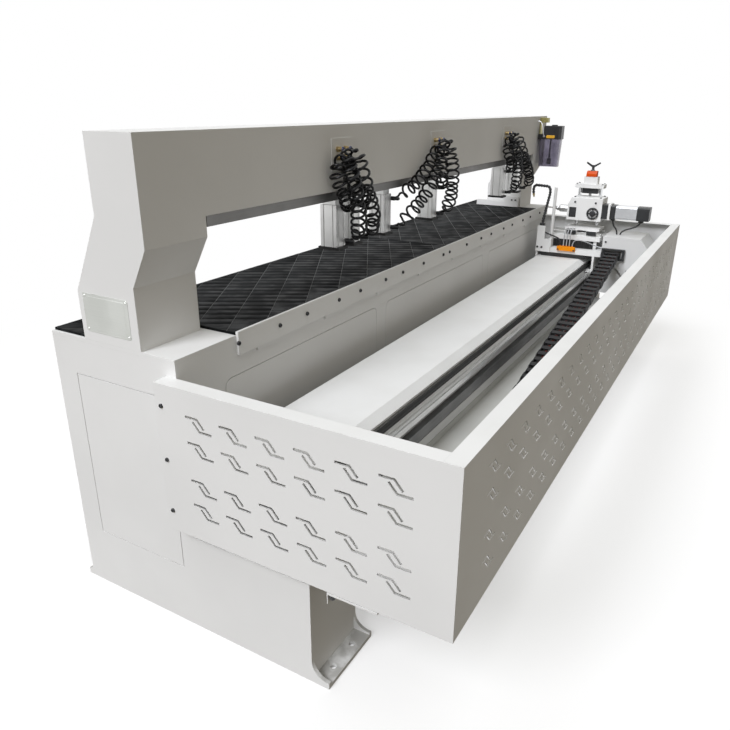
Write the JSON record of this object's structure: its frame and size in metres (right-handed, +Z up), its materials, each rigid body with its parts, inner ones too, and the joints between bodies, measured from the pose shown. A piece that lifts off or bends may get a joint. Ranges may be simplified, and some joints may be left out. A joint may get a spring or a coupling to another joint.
{
  "type": "side hole drilling machine",
  "caption": "Long bench machine that clamps flat panels under a beam and drills holes into their edge from a carriage on rails in a guarded trough.",
  "frame": {"origin": "centre of the floor footprint's bounding box", "axes": "+X along the machine from the near end to the far end, +Y towards the operator side, +Z up"},
  "size_m": [3.467, 1.346, 1.439],
  "materials": {
    "white_paint": "warm white paint, smooth satin",
    "table_black": "black ribbed mat",
    "rail_grey": "dark grey",
    "brass": "brass with blue collars",
    "pump_black": "black moulded plastic",
    "reservoir_smoke": "smoky translucent plastic",
    "rail_steel": "ground steel",
    "rack_steel": "dark oiled steel",
    "trim_black": "matt black",
    "chain_black": "black nylon",
    "orange": "orange",
    "post_chrome": "hard chrome",
    "servo_alu": "silver body",
    "zinc_yellow": "yellow zinc plate",
    "spindle_steel": "turned steel",
    "drill_steel": "dark tool steel",
    "screw_steel": "steel screw",
    "cable_grey": "grey air lines and black cables",
    "clamp_alu": "anodised extrusion",
    "pad_black": "black",
    "hose_black": "glossy black polyurethane"
  },
  "bodies": {
    "base": {"near_end_frame": "white_paint", "far_end_frame": "white_paint", "bed_top": "white_paint", "bed_walls": "white_paint", "cover_plates": "white_paint", "table_mat": "table_black", "table_fences": "white_paint", "side_stop": "white_paint", "columns": "white_paint", "top_beam": "white_paint", "clamp_rail": "rail_grey", "hose_fittings": "brass", "pump_bracket": "zinc_yellow", "pump_head": "pump_black", "pump_reservoir": "reservoir_smoke", "guard_near": "white_paint", "guard_side": "white_paint", "guard_far": "white_paint", "x_beam": "white_paint", "beam_cover": "white_paint", "x_rails": "rail_steel", "x_rack": "rack_steel", "chain_tray": "white_paint", "air_hoses": "hose_black"},
    "carriage": {"saddle": "white_paint", "runner_blocks": "rail_steel", "carriage_box": "white_paint", "chain_inlet": "trim_black", "cable_chain": "chain_black", "manifold": "orange", "feed_base": "white_paint", "feed_rails": "rail_steel", "blow_bracket": "white_paint", "blow_pipe": "trim_black", "blow_nozzle": "brass", "head_cables": "cable_grey"},
    "feed": {"feed_slide": "white_paint", "guide_posts": "post_chrome", "lift_top": "white_paint", "position_counter": "orange"},
    "head": {"head_housing": "white_paint", "head_trim": "trim_black", "servo_motor": "servo_alu", "servo_ends": "trim_black"},
    "spindle": {"spindle": "spindle_steel", "drill_bit": "drill_steel"},
    "handle": {"lift_screw": "screw_steel", "wing_handle": "trim_black"},
    "clamp_1": {"clamp_1_body": "clamp_alu"},
    "pad_1": {"clamp_1_pad": "pad_black"},
    "clamp_2": {"clamp_2_body": "clamp_alu"},
    "pad_2": {"clamp_2_pad": "pad_black"},
    "clamp_3": {"clamp_3_body": "clamp_alu"},
    "pad_3": {"clamp_3_pad": "pad_black"},
    "clamp_4": {"clamp_4_body": "clamp_alu"},
    "pad_4": {"clamp_4_pad": "pad_black"},
    "clamp_5": {"clamp_5_body": "clamp_alu"},
    "pad_5": {"clamp_5_pad": "pad_black"},
    "clamp_6": {"clamp_6_body": "clamp_alu"},
    "pad_6": {"clamp_6_pad": "pad_black"}
  },
  "joints": [
    {"name": "carriage_x", "type": "slide", "parent": "base", "child": "carriage", "axis": [1, 0, 0], "range_m": [-2.85, 0.05], "deforming": ["cable_chain"]},
    {"name": "feed_y", "type": "slide", "parent": "carriage", "child": "feed", "axis": [0, 1, 0], "range_m": [-0.01, 0.11], "deforming": ["head_cables"]},
    {"name": "head_lift", "type": "slide", "parent": "feed", "child": "head", "axis": [0, 0, 1], "range_m": [-0.04, 0.01], "deforming": ["head_cables"]},
    {"name": "spindle_turn", "type": "hinge", "parent": "head", "child": "spindle", "pos_m": [1.415, 0, 0.911], "axis": [0, 1, 0], "continuous": true},
    {"name": "handle_turn", "type": "hinge", "parent": "feed", "child": "handle", "pos_m": [1.485, -0.161, 1], "axis": [0, 0, 1], "range_deg": [-2410, 610]},
    {"name": "clamp_1_slide", "type": "slide", "parent": "base", "child": "clamp_1", "axis": [1, 0, 0], "range_m": [-0.2, 0.02], "deforming": ["air_hoses"]},
    {"name": "pad_1_press", "type": "slide", "parent": "clamp_1", "child": "pad_1", "axis": [0, 0, 1], "range_m": [-0.1085, 0]},
    {"name": "clamp_2_slide", "type": "slide", "parent": "base", "child": "clamp_2", "axis": [1, 0, 0], "range_m": [-0.02, 0.08], "deforming": ["air_hoses"]},
    {"name": "pad_2_press", "type": "slide", "parent": "clamp_2", "child": "pad_2", "axis": [0, 0, 1], "range_m": [-0.1085, 0]},
    {"name": "clamp_3_slide", "type": "slide", "parent": "base", "child": "clamp_3", "axis": [1, 0, 0], "range_m": [-0.08, 0.1], "deforming": ["air_hoses"]},
    {"name": "pad_3_press", "type": "slide", "parent": "clamp_3", "child": "pad_3", "axis": [0, 0, 1], "range_m": [-0.1085, 0]},
    {"name": "clamp_4_slide", "type": "slide", "parent": "base", "child": "clamp_4", "axis": [1, 0, 0], "range_m": [-0.15, 0.15], "deforming": ["air_hoses"]},
    {"name": "pad_4_press", "type": "slide", "parent": "clamp_4", "child": "pad_4", "axis": [0, 0, 1], "range_m": [-0.1085, 0]},
    {"name": "clamp_5_slide", "type": "slide", "parent": "base", "child": "clamp_5", "axis": [1, 0, 0], "range_m": [-0.15, 0.08], "deforming": ["air_hoses"]},
    {"name": "pad_5_press", "type": "slide", "parent": "clamp_5", "child": "pad_5", "axis": [0, 0, 1], "range_m": [-0.1085, 0]},
    {"name": "clamp_6_slide", "type": "slide", "parent": "base", "child": "clamp_6", "axis": [1, 0, 0], "range_m": [-0.08, 0.1], "deforming": ["air_hoses"]},
    {"name": "pad_6_press", "type": "slide", "parent": "clamp_6", "child": "pad_6", "axis": [0, 0, 1], "range_m": [-0.1085, 0]}
  ],
  "couplings": [
    {"joint": "handle_turn", "follows": "head_lift", "rad_per_m": 1047.2}
  ]
}
